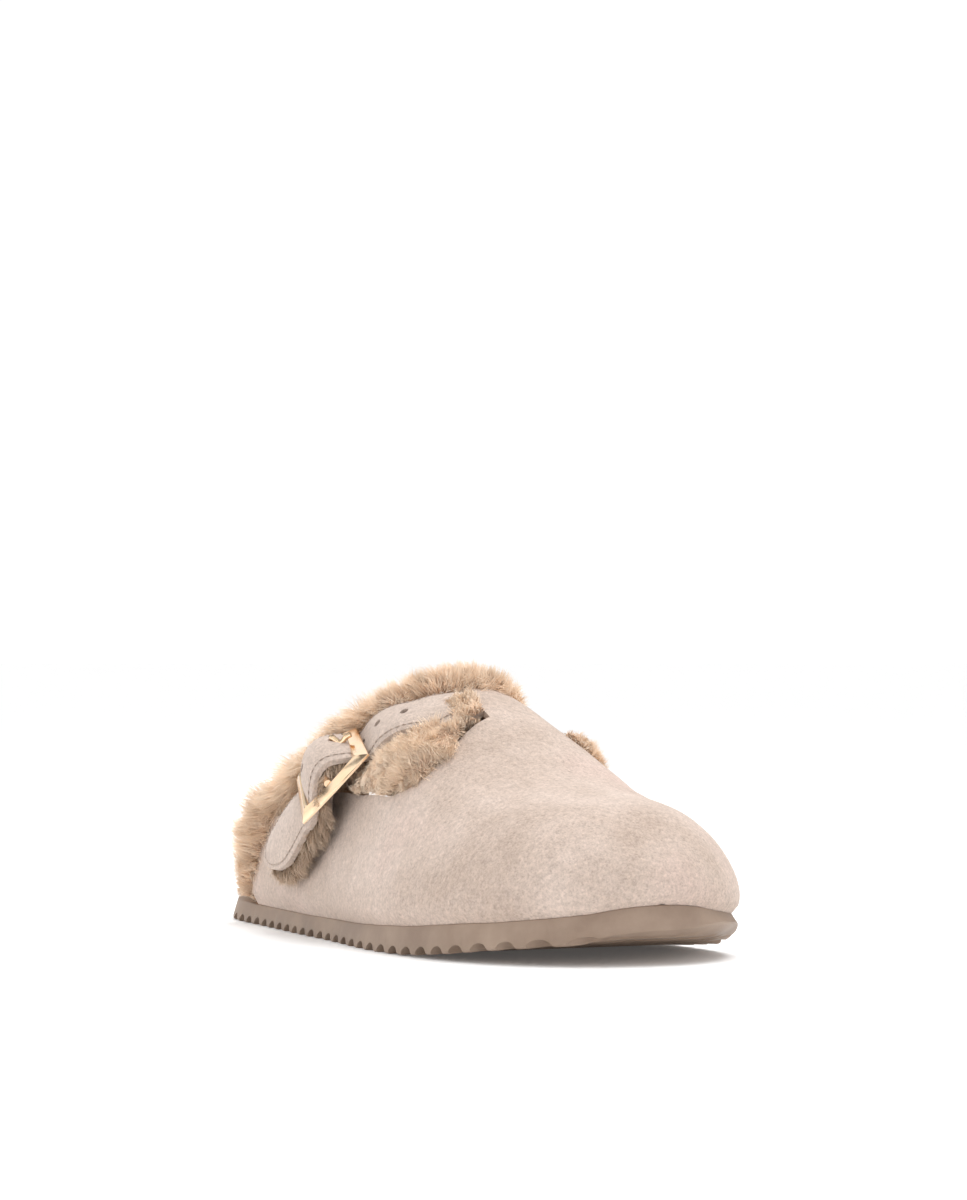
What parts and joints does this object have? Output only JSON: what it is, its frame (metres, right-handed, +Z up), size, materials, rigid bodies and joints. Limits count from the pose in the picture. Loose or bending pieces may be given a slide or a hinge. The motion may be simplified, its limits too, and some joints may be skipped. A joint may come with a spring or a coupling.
{
  "type": "clog slipper",
  "caption": "Backless suede clog slipper for the right foot with long fur lining, buckled instep strap and a thin cross-ribbed sole.",
  "frame": {"origin": "on the tread, at the land between the ribs' grooves next to mid length, on the heel's centre line", "axes": "+Z up, the toe points to -Y, the outer side of the foot is -X"},
  "size_m": [0.1023, 0.2627, 0.0851],
  "materials": {
    "suede": "light taupe suede, matt with a short nap",
    "fur": "long tan fur, woolly",
    "sole": "moulded, satin",
    "gold": "pale gold plating, polished"
  },
  "bodies": {
    "root": {"outsole": "sole", "insole": "fur", "upper": "suede", "strap": "suede", "buckle_frame": "gold", "buckle_prong": "gold", "buckle_tab": "suede", "collar_fur": "fur", "outer_fur": "fur", "inner_fur": "fur", "strap_fur": "fur"}
  },
  "joints": []
}
